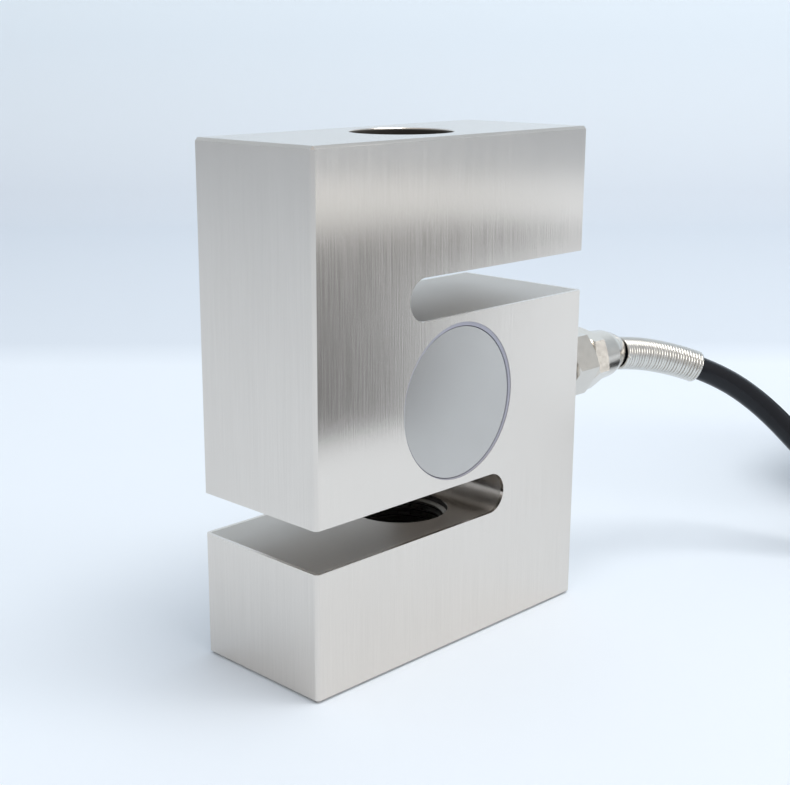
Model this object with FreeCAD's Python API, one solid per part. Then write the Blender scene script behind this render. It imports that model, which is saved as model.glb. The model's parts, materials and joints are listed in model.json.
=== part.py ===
"""S type load cell with a gland, a relief spring and a coiled cable.

The body is one machined steel block.  Two horizontal slots, one from each end,
leave two arms joined by a thick middle.  A round pocket in each face of the
middle leaves a thin shear web, which carries the strain gauges.

Frame: origin on the load axis at the bottom face, +Z up along the load axis,
+X towards the end with the cable gland, -Y towards the front cover.
Every length is in millimetres.
"""
import FreeCAD, Part
import math
import os

os.makedirs("parts", exist_ok=True)

V = FreeCAD.Vector
X_DIR = V(1, 0, 0)
Y_DIR = V(0, 1, 0)
Z_DIR = V(0, 0, 1)

# ---------------------------------------------------------------- load body
body_width = 76.2
body_height = 101.6
body_thickness = 32.0
body_chamfer = 0.6
slot_height = 8.3
slot_depth = 52.2

# M20 x 1.5 holes on the load axis, one through each arm
thread_radius = 10.0
thread_chamfer = 0.4

# Gauge pockets, one in each face, closed by a disc in a shallow recess
pocket_depth = 12.5
pocket_land = 1.5
ledge_width = 2.1
recess_depth = 1.8
web_hole_radius = 1.6
web_hole_drop = 11.6

# ------------------------------------------------------- covers and sealant
cover_clearance = 0.45
cover_thickness = 1.5
cover_chamfer = 0.2
cover_shift_x = -0.2
cover_shift_z = -0.25
sealant_stand = 0.15

# ----------------------------------------------- gauges, coating and boards
gauge_length = 7.0
gauge_width = 5.0
gauge_thickness = 0.25
gauge_spacing = 9.0
gauge_angle = 45.0
coating_radius = 9.8
coating_thickness = 1.4
board_width = 18.0
board_height = 12.0
board_thickness = 1.2
board_corner = 1.5
pad_width = 2.0
pad_thickness = 0.3
pad_pitch = 2.6
jumper_width = 0.35
jumper_spread = 1.6
ribbon_width = 2.6
ribbon_thickness = 0.4
ribbon_rise = 3.0
resistor_length = 4.2
resistor_radius = 0.8
resistor_pitch = 2.6
resistor_count = 3

# -------------------------------------------------------------------- gland
gland_offset = -8.5
gland_drop = 0.8
port_radius = 4.0
port_depth = 9.0
port_chamfer = 0.5
wire_hole_radius = 3.0
stub_length = 7.0
washer_thickness = 1.0
washer_radius = 6.0
gland_flats = 13.0
gland_hex_length = 7.4
gland_bore_radius = 2.95
nut_thread_radius = 4.9
nut_thread_length = 5.0
nut_gap = 0.5
nut_flats = 12.0
nut_hex_length = 4.3
nut_turn = 15.0
hex_bevel = 0.55
nose_length = 9.9
nose_root_radius = 5.75
nose_shoulder_radius = 5.35
nose_shoulder = 5.2
nose_bend_radius = 4.7
nose_bend = 7.4
nose_tip_radius = 3.7
nose_mouth_radius = 3.25
nose_mouth_length = 4.0
groove_first = 6.7
groove_pitch = 0.75
groove_depth = 0.12
groove_count = 3
seal_taper = 1.8
seal_stand = 1.6
seal_radius = 3.95
slip_thickness = 0.8
slip_radius = 4.6

# ---------------------------------------------------- cable, spring and coil
cable_radius = 2.75
cable_stripped = 24.0
spring_radius = 3.75
spring_wire = 0.8
spring_turns = 29
spring_gap = 0.62
spring_groove = 0.32
spring_clearance = 0.15
coil_x = 175.0
coil_y = -35.0
coil_fold_radius = 16.5
coil_columns = 2
coil_levels = 8
coil_straight = 31.0
coil_bevel = 1.6
tie_thickness = 1.2
tie_width = 4.0
tie_head = 6.0
tie_head_shift = 14.0
tail_start = 100.0
tail_end = 270.0
sleeve_radius = 3.05
sleeve_length = 12.0
lead_radius = 0.5
lead_tip_radius = 0.35
lead_tip_length = 6.0
lead_run = 9.0
lead_pitch = 1.05
lead_lift = 0.6
lead_rest = 0.6
lead_reach = 32.0
lead_inset = 15.5
lead_spread = 1.7
conductor_offset = 0.95
lead_clearance = 0.3

# ------------------------------------------------------------ derived places
half_width = body_width / 2.0
half_thickness = body_thickness / 2.0
arm_height = body_height / 4.0
pocket_height = body_height / 2.0
recess_radius = pocket_height - arm_height - slot_height - pocket_land
pocket_radius = recess_radius - ledge_width
cover_radius = recess_radius - cover_clearance
gland_height = pocket_height - gland_drop
web_face = half_thickness - pocket_depth
ledge_face = half_thickness - recess_depth
coating_top = web_face + coating_thickness
board_top = coating_top + board_thickness
pad_top = board_top + pad_thickness
slot_radius = slot_height / 2.0
hex_start = half_width + washer_thickness
hex_end = hex_start + gland_hex_length
thread_end = hex_end + nut_thread_length
nut_start = hex_end + nut_gap
nose_start = nut_start + nut_hex_length
nose_end = nose_start + nose_length
seal_end = thread_end + seal_stand
slip_end = seal_end + slip_thickness
coil_inner = coil_fold_radius - cable_radius
coil_outer = coil_inner + 2.0 * cable_radius * coil_columns
coil_height = 2.0 * cable_radius * coil_levels
tail_turn_radius = (coil_inner + coil_outer) / 2.0
tail_height = coil_height + sleeve_radius

# Points of the free cable, from inside the gland to the first turn of the coil.
# They are kept as chosen by hand, and the cable lies on the floor at the end.
route = [
    V(49.4, gland_offset, gland_height),
    V(63.2, gland_offset, gland_height),
    V(83.0, -16.1, 44.7),
    V(93.8, -27.0, 36.7),
    V(98.3, -43.3, 20.9),
    V(113.0, -53.6, 8.5),
    V(135.0, -57.0, cable_radius),
    V(158.0, -57.0, cable_radius),
]


# ------------------------------------------------------------------- helpers
def export(shape, name):
    """Write one sub-part as a STEP file under its node's name."""
    shape.exportStep("parts/" + name + ".step")
    solids = len(shape.Solids)
    print(name, "solids", solids, "valid", shape.isValid(), "volume", round(shape.Volume, 1))


def bar(start, direction, length, radius):
    """Return a round bar from a point along a direction."""
    return Part.makeCylinder(radius, length, start, direction)


def turned(profile, centre_y, centre_z):
    """Revolve (x, radius) points about an axis parallel to X."""
    points = [V(x, centre_y + radius, centre_z) for x, radius in profile]
    face = Part.Face(Part.makePolygon(points + [points[0]]))
    return face.revolve(V(0, centre_y, centre_z), X_DIR, 360)


def hexagon_bar(start_x, length, flats, turn, bevel, centre_y, centre_z):
    """Return a hexagon bar along X whose corners are bevelled at both ends."""
    corner = flats / math.sqrt(3.0)
    points = []
    for step in range(7):
        angle = math.radians(turn + 60.0 * step)
        y = centre_y + corner * math.cos(angle)
        z = centre_z + corner * math.sin(angle)
        points.append(V(start_x, y, z))
    prism = Part.Face(Part.makePolygon(points)).extrude(V(length, 0, 0))
    lathe = turned(
        [
            (start_x, 0.0),
            (start_x, flats / 2.0 - 0.1),
            (start_x + bevel, corner + 0.01),
            (start_x + length - bevel, corner + 0.01),
            (start_x + length, flats / 2.0 - 0.1),
            (start_x + length, 0.0),
        ],
        centre_y,
        centre_z,
    )
    return prism.common(lathe)


def route_pieces(points):
    """Turn a polyline into straight runs joined by tangent arcs."""
    pieces = []
    place = points[0]
    radii = []
    for index in range(1, len(points) - 1):
        before = points[index] - points[index - 1]
        after = points[index + 1] - points[index]
        turn = before.getAngle(after)
        reach = 0.45 * min(before.Length, after.Length)
        enter = points[index] - before.normalize() * reach
        leave = points[index] + after.normalize() * reach
        radius = reach / math.tan(turn / 2.0)
        radii.append(round(radius, 1))
        bisector = (after - before).normalize()
        centre = points[index] + bisector * (radius / math.cos(turn / 2.0))
        middle = centre - bisector * radius
        pieces.append(("line", place, enter, None, (enter - place).Length))
        pieces.append(("arc", enter, leave, (middle, centre), radius * turn))
        place = leave
    pieces.append(("line", place, points[-1], None, (points[-1] - place).Length))
    return pieces, radii


def route_wire(pieces):
    """Return the wire of a route's runs and arcs."""
    edges = []
    for kind, start, end, extra, length in pieces:
        if kind == "line":
            edges.append(Part.LineSegment(start, end).toShape())
        else:
            edges.append(Part.Arc(start, extra[0], end).toShape())
    return Part.Wire(edges)


def route_length(pieces):
    """Return the length of a route along its runs and arcs."""
    return sum(piece[4] for piece in pieces)


def route_place(pieces, distance):
    """Return the point and the direction at a distance along a route."""
    left = distance
    for kind, start, end, extra, length in pieces:
        if left > length and (end - pieces[-1][2]).Length > 1e-6:
            left -= length
            continue
        if kind == "line":
            direction = (end - start).normalize()
            return start + direction * left, direction
        centre = extra[1]
        arm = start - centre
        axis = arm.cross(end - centre).normalize()
        turned_by = FreeCAD.Rotation(axis, math.degrees(left / arm.Length))
        spoke = turned_by.multVec(arm)
        return centre + spoke, axis.cross(spoke).normalize()
    return pieces[-1][2], (pieces[-1][2] - pieces[-1][1]).normalize()


def tube(points, radius):
    """Return a solid round tube along a route of runs and arcs."""
    pieces, radii = route_pieces(points)
    path = route_wire(pieces)
    direction = (pieces[0][2] - pieces[0][1]).normalize()
    ring = Part.Wire(Part.Circle(points[0], direction, radius).toShape())
    return path.makePipeShell([ring], True, True)


def mirrored(shape):
    """Return the copy of a front piece for the rear face."""
    return shape.mirror(V(0, 0, 0), Y_DIR)


# ----------------------------------------------------------------- load body
def make_slot(level):
    """Return the cutter of a slot that opens at the -X end."""
    end_centre = -half_width + slot_depth - slot_radius
    length = end_centre + half_width + 1.0
    corner = V(-half_width - 1.0, -half_thickness - 1.0, level)
    plain = Part.makeBox(length, body_thickness + 2.0, slot_height, corner)
    start = V(end_centre, -half_thickness - 1.0, level + slot_radius)
    return plain.fuse(bar(start, Y_DIR, body_thickness + 2.0, slot_radius))


def make_thread_hole(mouth, direction):
    """Return the cutter of one threaded hole with its countersink."""
    hole = bar(mouth - direction * 1.0, direction, arm_height + 2.0, thread_radius)
    sink_radius = thread_radius + thread_chamfer
    sink = Part.makeCone(sink_radius, thread_radius, thread_chamfer, mouth, direction)
    return hole.fuse(sink)


def make_pocket():
    """Return the cutter of the front pocket and its cover recess."""
    start = V(0, -half_thickness - 1.0, pocket_height)
    recess = bar(start, Y_DIR, recess_depth + 1.0, recess_radius)
    pocket = bar(start, Y_DIR, pocket_depth + 1.0, pocket_radius)
    return recess.fuse(pocket)


def make_port():
    """Return the cutter of the gland's tapped port and its wire hole."""
    mouth = V(half_width, gland_offset, gland_height)
    back = V(-1, 0, 0)
    tapped = bar(mouth + X_DIR, back, port_depth + 1.0, port_radius)
    wires = bar(mouth + X_DIR, back, half_width + 1.0, wire_hole_radius)
    sink = Part.makeCone(port_radius + port_chamfer, port_radius, port_chamfer, mouth, back)
    return tapped.fuse(wires).fuse(sink)


def make_body():
    """Return the machined block."""
    corner = V(-half_width, -half_thickness, 0)
    block = Part.makeBox(body_width, body_thickness, body_height, corner)
    block = block.makeChamfer(body_chamfer, block.Edges)
    lower_slot = make_slot(arm_height)
    upper_slot = lower_slot.copy()
    upper_slot.rotate(V(0, 0, body_height / 2.0), Y_DIR, 180)
    block = block.cut(lower_slot).cut(upper_slot)
    block = block.cut(make_thread_hole(V(0, 0, 0), Z_DIR))
    block = block.cut(make_thread_hole(V(0, 0, body_height), V(0, 0, -1)))
    pocket = make_pocket()
    block = block.cut(pocket).cut(mirrored(pocket))
    block = block.cut(make_port())
    hole_start = V(0, -half_thickness, pocket_height - web_hole_drop)
    return block.cut(bar(hole_start, Y_DIR, body_thickness, web_hole_radius))


# ------------------------------------------------------- covers and sealant
def cover_blank(radius, depth):
    """Return a disc on the recess ledge, at the cover's own centre."""
    start = V(cover_shift_x, -ledge_face, pocket_height + cover_shift_z)
    return bar(start, V(0, -1, 0), depth, radius)


def make_cover():
    """Return the front cover disc with its front rim eased."""
    disc = cover_blank(cover_radius, cover_thickness)
    front = -ledge_face - cover_thickness
    rims = []
    for edge in disc.Edges:
        box = edge.BoundBox
        if box.YMax < front + 0.01:
            rims.append(edge)
    return disc.makeChamfer(cover_chamfer, rims)


def make_sealant():
    """Return the ring of sealant between the cover and the recess wall."""
    start = V(0, -ledge_face, pocket_height)
    depth = recess_depth - sealant_stand
    ring = bar(start, V(0, -1, 0), depth, recess_radius)
    return ring.cut(cover_blank(cover_radius, recess_depth))


# ----------------------------------------------------- gauges and electronics
def make_gauges():
    """Return the two foil gauges on the front of the web."""
    gauges = []
    for side in (-1, 1):
        corner = V(-gauge_length / 2.0, -web_face - gauge_thickness, -gauge_width / 2.0)
        foil = Part.makeBox(gauge_length, gauge_thickness, gauge_width, corner)
        foil.rotate(V(0, 0, 0), Y_DIR, side * gauge_angle)
        foil.translate(V(side * gauge_spacing / 2.0, 0, pocket_height))
        gauges.append(foil)
    return Part.makeCompound(gauges)


def make_jumpers():
    """Return the flat tails from the front gauges up to the board."""
    wires = []
    length = coating_top - web_face - gauge_thickness
    for side in (-1, 1):
        for shift in (-jumper_spread, jumper_spread):
            x = side * gauge_spacing / 2.0 + shift
            corner = V(x, -coating_top, pocket_height) - V(1, 0, 1) * (jumper_width / 2.0)
            wires.append(Part.makeBox(jumper_width, length, jumper_width, corner))
    return Part.makeCompound(wires)


def make_coating():
    """Return the silicone pad that seals the front gauges."""
    start = V(0, -web_face, pocket_height)
    pad = bar(start, V(0, -1, 0), coating_thickness, coating_radius)
    return pad.cut(make_gauges()).cut(make_jumpers())


def make_board():
    """Return the front terminal board, a plate with rounded corners."""
    corner = V(-board_width / 2.0, -board_top, pocket_height - board_height / 2.0)
    plate = Part.makeBox(board_width, board_thickness, board_height, corner)
    edges = []
    for edge in plate.Edges:
        if abs(edge.tangentAt(edge.FirstParameter).y) > 0.9:
            edges.append(edge)
    return plate.makeFillet(board_corner, edges)


def pad_place(column, row):
    """Return the middle of a terminal pad's outer face on the front board."""
    x = board_width / 2.0 - 1.1 * pad_width - 2.0 * pad_pitch * column
    z = pocket_height + (row - 1.5) * pad_pitch
    return V(x, -pad_top, z)


def make_pads():
    """Return the solder pads of the front board."""
    pads = []
    for row in range(4):
        corner = pad_place(0, row) - V(1, 0, 1) * (pad_width / 2.0)
        pads.append(Part.makeBox(pad_width, pad_thickness, pad_width, corner))
    return Part.makeCompound(pads)


def make_bridge_ribbon():
    """Return the four-way ribbon that joins the boards through the web."""
    outer = board_top + ribbon_thickness
    top = pocket_height - board_height / 2.0 + ribbon_rise
    middle = pocket_height - web_hole_drop
    low = middle - ribbon_thickness / 2.0
    start = V(-ribbon_width / 2.0, 0, 0)
    around = Part.makeBox(ribbon_width, 2.0 * outer, top - low, start + V(0, -outer, low))
    inside_height = top - low - ribbon_thickness
    inside = Part.makeBox(
        ribbon_width, 2.0 * board_top, inside_height, start + V(0, -board_top, low + ribbon_thickness)
    )
    return around.cut(inside)


def make_resistors():
    """Return the trimming resistors on the front board."""
    bodies = []
    for index in range(resistor_count):
        z = pocket_height + (index - (resistor_count - 1) / 2.0) * resistor_pitch
        x = -board_width / 2.0 + 1.6
        start = V(x, -board_top - resistor_radius, z + 0.6)
        bodies.append(bar(start, X_DIR, resistor_length, resistor_radius))
    return Part.makeCompound(bodies)


def make_inner_lead(row):
    """Return one conductor from the stripped cable end to its pad."""
    near_web = 1.0 if row in (0, 3) else -1.0
    upper = 1.0 if row > 1 else -1.0
    y = gland_offset + near_web * conductor_offset
    z = gland_height + upper * conductor_offset
    target = pad_place(0, row) - V(0, lead_radius, 0)
    points = [
        V(cable_stripped, y, z),
        V(pocket_radius + lead_clearance, y, z),
        V(target.x + pad_width, target.y, target.z),
        V(target.x - pad_width / 2.0, target.y, target.z),
    ]
    return tube(points, lead_radius)


# --------------------------------------------------------------------- gland
def make_washer():
    """Return the sealing washer under the gland's hexagon."""
    ring = turned(
        [
            (half_width, port_radius),
            (half_width, washer_radius),
            (hex_start, washer_radius),
            (hex_start, port_radius),
        ],
        gland_offset,
        gland_height,
    )
    return ring


def make_gland_body():
    """Return the gland's hexagon with its two threaded ends."""
    hexagon = hexagon_bar(
        hex_start, gland_hex_length, gland_flats, 0.0, hex_bevel, gland_offset, gland_height
    )
    stub_start = V(half_width - stub_length, gland_offset, gland_height)
    stub = bar(stub_start, X_DIR, stub_length + washer_thickness, port_radius)
    neck_start = V(hex_end, gland_offset, gland_height)
    neck = bar(neck_start, X_DIR, nut_thread_length, nut_thread_radius)
    solid = hexagon.fuse(stub).fuse(neck)
    bore_start = stub_start - X_DIR
    bore_length = thread_end - bore_start.x + 1.0
    solid = solid.cut(bar(bore_start, X_DIR, bore_length, gland_bore_radius))
    seat_start = V(thread_end - seal_taper, gland_offset, gland_height)
    seat = Part.makeCone(gland_bore_radius, seal_radius, seal_taper, seat_start, X_DIR)
    return solid.cut(seat).removeSplitter()


def make_seal():
    """Return the rubber seal that grips the cable."""
    start = thread_end - seal_taper
    return turned(
        [
            (start, cable_radius),
            (start, gland_bore_radius),
            (thread_end, seal_radius),
            (seal_end, seal_radius),
            (seal_end, cable_radius),
        ],
        gland_offset,
        gland_height,
    )


def make_slip_washer():
    """Return the washer between the seal and the nut."""
    return turned(
        [
            (seal_end, gland_bore_radius),
            (seal_end, slip_radius),
            (slip_end, slip_radius),
            (slip_end, gland_bore_radius),
        ],
        gland_offset,
        gland_height,
    )


def make_nose():
    """Return the nut's tapered nose with its turned grooves."""
    centre = V(0, gland_offset, gland_height)
    root = V(nose_start, gland_offset + nose_root_radius, gland_height)
    shoulder = V(nose_start + nose_shoulder, gland_offset + nose_shoulder_radius, gland_height)
    bend = V(nose_start + nose_bend, gland_offset + nose_bend_radius, gland_height)
    tip = V(nose_end, gland_offset + nose_tip_radius, gland_height)
    outline = [
        Part.LineSegment(V(nose_start, gland_offset, gland_height), root).toShape(),
        Part.LineSegment(root, shoulder).toShape(),
        Part.Arc(shoulder, bend, tip).toShape(),
        Part.LineSegment(tip, V(nose_end, gland_offset, gland_height)).toShape(),
        Part.LineSegment(
            V(nose_end, gland_offset, gland_height), V(nose_start, gland_offset, gland_height)
        ).toShape(),
    ]
    nose = Part.Face(Part.Wire(outline)).revolve(centre, X_DIR, 360)
    curve = Part.Arc(shoulder, bend, tip).toShape().Curve
    for index in range(groove_count):
        x = nose_start + groove_first + index * groove_pitch
        rise = math.sqrt(curve.Radius ** 2 - (x - curve.Center.x) ** 2)
        level = curve.Center.y + rise - gland_offset
        half = groove_pitch / 4.0
        groove = turned(
            [
                (x - half, level + 1.0),
                (x - half, level + 0.25),
                (x, level - groove_depth),
                (x + half, level + 0.25),
                (x + half, level + 1.0),
            ],
            gland_offset,
            gland_height,
        )
        nose = nose.cut(groove)
    return nose


def make_nut():
    """Return the gland nut: hexagon, tapered nose and stepped bore."""
    hexagon = hexagon_bar(
        nut_start, nut_hex_length, nut_flats, nut_turn, hex_bevel, gland_offset, gland_height
    )
    solid = hexagon.fuse(make_nose())
    inner = turned(
        [
            (nut_start - 1.0, 0.0),
            (nut_start - 1.0, nut_thread_radius),
            (slip_end, nut_thread_radius),
            (slip_end, gland_bore_radius),
            (nose_end - nose_mouth_length, gland_bore_radius),
            (nose_end, nose_mouth_radius),
            (nose_end + 1.0, nose_mouth_radius),
            (nose_end + 1.0, 0.0),
        ],
        gland_offset,
        gland_height,
    )
    return solid.cut(inner).removeSplitter()


# -------------------------------------------------------------- relief spring
def make_spring():
    """Return the close-wound spring, bent with the cable that it guards.

    Each turn is a crest between two grooves.  Crests and grooves are circles
    square to the route, so the turns stay closed round the bend.
    """
    pieces, radii = route_pieces(route)
    start = nose_end + spring_gap - route[0].x
    rings = []
    for step in range(2 * spring_turns + 1):
        middle, direction = route_place(pieces, start + step * spring_wire / 2.0)
        radius = spring_radius if step % 2 else spring_radius - spring_groove
        ring = Part.Circle(V(0, 0, 0), X_DIR, radius).toShape()
        ring.Placement = FreeCAD.Placement(middle, FreeCAD.Rotation(X_DIR, direction))
        rings.append(Part.Wire(ring))
    turns = Part.makeLoft(rings, True, True)
    return turns.cut(tube(route, cable_radius + spring_clearance))


# --------------------------------------------------------------- cable pieces
def around_fold(side, angle, radius, height):
    """Return a point round one end of the coil; side is -1 for its near end."""
    turn = math.radians(angle)
    x = coil_x + side * coil_straight / 2.0 + radius * math.cos(turn)
    return V(x, coil_y + radius * math.sin(turn), height)


def coil_block(radius):
    """Return the upright oval block that a turn of a radius at its ends bounds."""
    corners = [
        around_fold(1.0, -90.0, radius, 0.0),
        around_fold(1.0, 90.0, radius, 0.0),
        around_fold(-1.0, 90.0, radius, 0.0),
        around_fold(-1.0, 270.0, radius, 0.0),
    ]
    edges = [
        Part.Arc(corners[0], around_fold(1.0, 0.0, radius, 0.0), corners[1]).toShape(),
        Part.LineSegment(corners[1], corners[2]).toShape(),
        Part.Arc(corners[2], around_fold(-1.0, 180.0, radius, 0.0), corners[3]).toShape(),
        Part.LineSegment(corners[3], corners[0]).toShape(),
    ]
    return Part.Face(Part.Wire(edges)).extrude(V(0, 0, coil_height))


def make_cable_root():
    """Return the cable's clamped end, from its stripped edge through the seal."""
    start = V(cable_stripped, gland_offset, gland_height)
    return bar(start, X_DIR, route[0].x - cable_stripped, cable_radius)


def make_coil(run):
    """Return the outer shape of the stored turns."""
    ring = coil_block(coil_outer).cut(coil_block(coil_inner))
    rims = []
    for edge in ring.Edges:
        if edge.BoundBox.ZLength < 0.01:
            rims.append(edge)
    ring = ring.makeChamfer(coil_bevel, rims)
    corner = V(coil_x - tie_width / 2.0, coil_y - coil_outer - 1.0, 0)
    slot = Part.makeBox(tie_width, 2.0 * coil_outer + 2.0, tie_thickness, corner)
    return ring.cut(slot).cut(run)


def make_tie():
    """Return the strap round the stored turns, with its head on top."""
    reach = coil_outer + tie_thickness
    corner = V(coil_x - tie_width / 2.0, coil_y - reach, 0)
    outer = Part.makeBox(tie_width, 2.0 * reach, coil_height + tie_thickness, corner)
    corner = V(coil_x - tie_width, coil_y - coil_outer, tie_thickness)
    inner = Part.makeBox(2.0 * tie_width, 2.0 * coil_outer, coil_height - tie_thickness, corner)
    top = coil_height + tie_thickness
    corner = V(coil_x - tie_head / 2.0, coil_y + tie_head_shift - tie_head / 2.0, top)
    head = Part.makeBox(tie_head, tie_head, tie_head / 2.0, corner)
    return outer.cut(inner).fuse(head)


def make_tail():
    """Return the cable's last stretch, lying on top of the coil."""
    start = around_fold(-1.0, tail_start, tail_turn_radius, tail_height)
    middle = around_fold(-1.0, (tail_start + tail_end) / 2.0, tail_turn_radius, tail_height)
    end = around_fold(-1.0, tail_end, tail_turn_radius, tail_height)
    path = Part.Wire([Part.Arc(start, middle, end).toShape()])
    turn = math.radians(tail_start)
    ring = Part.Circle(start, V(-math.sin(turn), math.cos(turn), 0), cable_radius).toShape()
    return path.makePipeShell([Part.Wire(ring)], True, True)


def make_sleeve():
    """Return the shrunk sleeve over the end of the jacket."""
    start = around_fold(-1.0, tail_end, tail_turn_radius, tail_height)
    return bar(start, X_DIR, sleeve_length, sleeve_radius)


def lead_points(index):
    """Return the points of one outer lead, fanned over the coil's top."""
    start = around_fold(-1.0, tail_end, tail_turn_radius, tail_height)
    side = index - 2.0
    lift = lead_lift if index % 2 else -lead_lift
    first = start + V(sleeve_length, side * lead_pitch, lift)
    end_y = coil_y - lead_inset + side * lead_spread
    low = coil_height + lead_radius + lead_rest
    return [first, first + X_DIR * lead_run, V(coil_x + lead_reach, end_y, low)]


def make_lead(index):
    """Return one insulated outer lead."""
    return tube(lead_points(index), lead_radius)


def make_lead_tips():
    """Return the stripped and tinned ends of the outer leads."""
    tips = []
    for index in range(5):
        points = lead_points(index)
        direction = (points[-1] - points[-2]).normalize()
        tips.append(bar(points[-1], direction, lead_tip_length, lead_tip_radius))
    return Part.makeCompound(tips)


# --------------------------------------------------------------------- export
pieces, radii = route_pieces(route)
print("arc radii of the cable", radii)
cable_run = tube(route, cable_radius)
section = math.pi * cable_radius ** 2
print("cable run volume", round(cable_run.Volume, 1))
print("section x length", round(section * route_length(pieces), 1))

export(make_body(), "load_body")
front_cover = make_cover()
export(front_cover, "front_cover")
export(mirrored(front_cover), "rear_cover")
front_sealant = make_sealant()
export(front_sealant, "front_sealant")
export(mirrored(front_sealant), "rear_sealant")
export(make_gauges(), "front_gauges")
export(mirrored(make_gauges()), "rear_gauges")
export(make_coating(), "front_coating")
export(mirrored(make_coating()), "rear_coating")
export(make_board(), "front_board")
export(mirrored(make_board()), "rear_board")
export(make_pads(), "terminal_pads")
export(make_resistors(), "trim_resistors")
export(Part.makeCompound([make_jumpers(), mirrored(make_jumpers())]), "gauge_jumpers")
export(make_bridge_ribbon(), "bridge_ribbon")
lead_colours = ["red", "black", "green", "white"]
for row, colour in enumerate(lead_colours):
    export(make_inner_lead(row), "inner_lead_" + colour)
export(make_washer(), "gland_washer")
export(make_gland_body(), "gland_body")
export(make_seal(), "cable_seal")
export(make_slip_washer(), "slip_washer")
export(make_nut(), "gland_nut")
export(make_spring(), "relief_spring")
export(make_cable_root(), "cable_root")
export(cable_run, "cable_run")
export(make_coil(cable_run), "cable_coil")
export(make_tie(), "coil_tie")
export(make_tail(), "cable_tail")
export(make_sleeve(), "end_sleeve")
for index, colour in enumerate(lead_colours + ["shield"]):
    export(make_lead(index), "lead_" + colour)
export(make_lead_tips(), "lead_tips")
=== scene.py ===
"""S type load cell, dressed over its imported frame.

The file is laid out as an add-on.  Each operator makes one piece, or a group of
like pieces, from the sizes and colours in the scene's load cell settings.
All lengths are in metres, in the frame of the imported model: +Z up along the
load axis, +X towards the cable gland, -Y towards the front cover.
"""
import json
import math

import bpy
from bpy.props import FloatProperty, FloatVectorProperty, IntProperty, PointerProperty
from bpy.types import Operator, Panel, PropertyGroup
from mathutils import Matrix, Vector


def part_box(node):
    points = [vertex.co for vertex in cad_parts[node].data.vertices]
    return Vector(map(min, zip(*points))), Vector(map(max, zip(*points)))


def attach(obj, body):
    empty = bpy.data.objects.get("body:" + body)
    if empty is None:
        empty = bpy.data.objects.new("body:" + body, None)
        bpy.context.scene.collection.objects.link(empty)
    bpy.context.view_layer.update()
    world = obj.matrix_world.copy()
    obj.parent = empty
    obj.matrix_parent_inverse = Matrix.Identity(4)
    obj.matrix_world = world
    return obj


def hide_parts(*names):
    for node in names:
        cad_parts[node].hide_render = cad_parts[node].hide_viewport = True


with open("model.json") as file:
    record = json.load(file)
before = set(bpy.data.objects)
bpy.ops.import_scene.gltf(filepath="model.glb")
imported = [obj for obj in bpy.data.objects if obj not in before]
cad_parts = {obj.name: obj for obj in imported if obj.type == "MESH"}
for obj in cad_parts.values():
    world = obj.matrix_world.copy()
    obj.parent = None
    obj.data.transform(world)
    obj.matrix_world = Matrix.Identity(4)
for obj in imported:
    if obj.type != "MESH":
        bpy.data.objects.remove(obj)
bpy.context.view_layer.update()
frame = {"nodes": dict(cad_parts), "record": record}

bl_info = {
    "name": "S Type Load Cell",
    "version": (1, 0, 0),
    "blender": (4, 5, 0),
    "location": "3D View > Sidebar > Load Cell",
    "description": "Finishes, threads, spring, cable and studio of an S type load cell",
    "category": "Object",
}

BODY_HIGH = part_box("load_body")[1]
NUT_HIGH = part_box("gland_nut")[1]
COIL_LOW, COIL_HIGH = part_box("cable_coil")
COIL_MIDDLE = (COIL_LOW + COIL_HIGH) / 2.0
COIL_TOP = COIL_HIGH.z
COIL_HALF_WIDTH = (COIL_HIGH.y - COIL_LOW.y) / 2.0
COIL_HALF_STRAIGHT = (COIL_HIGH.x - COIL_LOW.x) / 2.0 - COIL_HALF_WIDTH

MOUNTS = {mount["name"]: mount for mount in frame["record"]["mounts"]}
THREAD_RADIUS = MOUNTS["lower_thread"]["dims"]["r_mm"] / 1000.0
THREAD_LENGTH = MOUNTS["lower_thread"]["dims"]["length_mm"] / 1000.0

OPENINGS = {space["name"]: space["box_m"] for space in frame["record"]["physics"]["openings"]}

# Points of the free cable, from inside the gland to the first turn of the coil
CABLE_ROUTE = [
    (0.0494, -0.0085, 0.0500),
    (0.0632, -0.0085, 0.0500),
    (0.0830, -0.0161, 0.0447),
    (0.0938, -0.0270, 0.0367),
    (0.0983, -0.0433, 0.0209),
    (0.1130, -0.0536, 0.0085),
    (0.1350, -0.0570, 0.00275),
    (0.1580, -0.0570, 0.00275),
]

# Route points of one oval turn of the coil, and the angle between those round an end
TURN_POINTS = 16
SIDE_POINTS = TURN_POINTS // 2
STRAIGHT_POINTS = 2
END_STEP = 30.0

# Where in a turn the cable starts to change its place, how much earlier each
# later turn does, and how many route points the change takes
CHANGE_BEGIN = 8.6
CHANGE_ADVANCE = 0.16
CHANGE_SPAN = 3.6

# Resolution of the cable's mesh between two route points and round its jacket,
# and the sides of the spring's wire
CABLE_STEPS = 8
CABLE_ROUNDNESS = 5
WIRE_SIDES = 10

# Shape of the thread's ridge: its flanks, its run-out in turns, how far its root
# sinks into the wall, and the angle above which an edge stays sharp
FLANK_ANGLE = math.radians(30.0)
RUNOUT_TURNS = 0.6
ROOT_SINK = 0.00004
SHARP_ANGLE = math.radians(25.0)
SECTION_CORNERS = 4

# How much longer than wide the brush marks are, how upright a flat face's normal
# is at least, and the brush marks' share of the colour's wear
BRUSH_STRETCH = 70.0
FLAT_LIMIT = 0.7
BRUSH_SHARE = 0.6

# How far the painted shade of the cuts reaches past a bore's wall, a bore's inner
# end and a slot's faces, and how far it stays inside the block's outer faces
BORE_MARGIN = 0.0002
END_MARGIN = 0.0001
SLOT_MARGIN = 0.0003
OUTER_MARGIN = 0.0007

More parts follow.
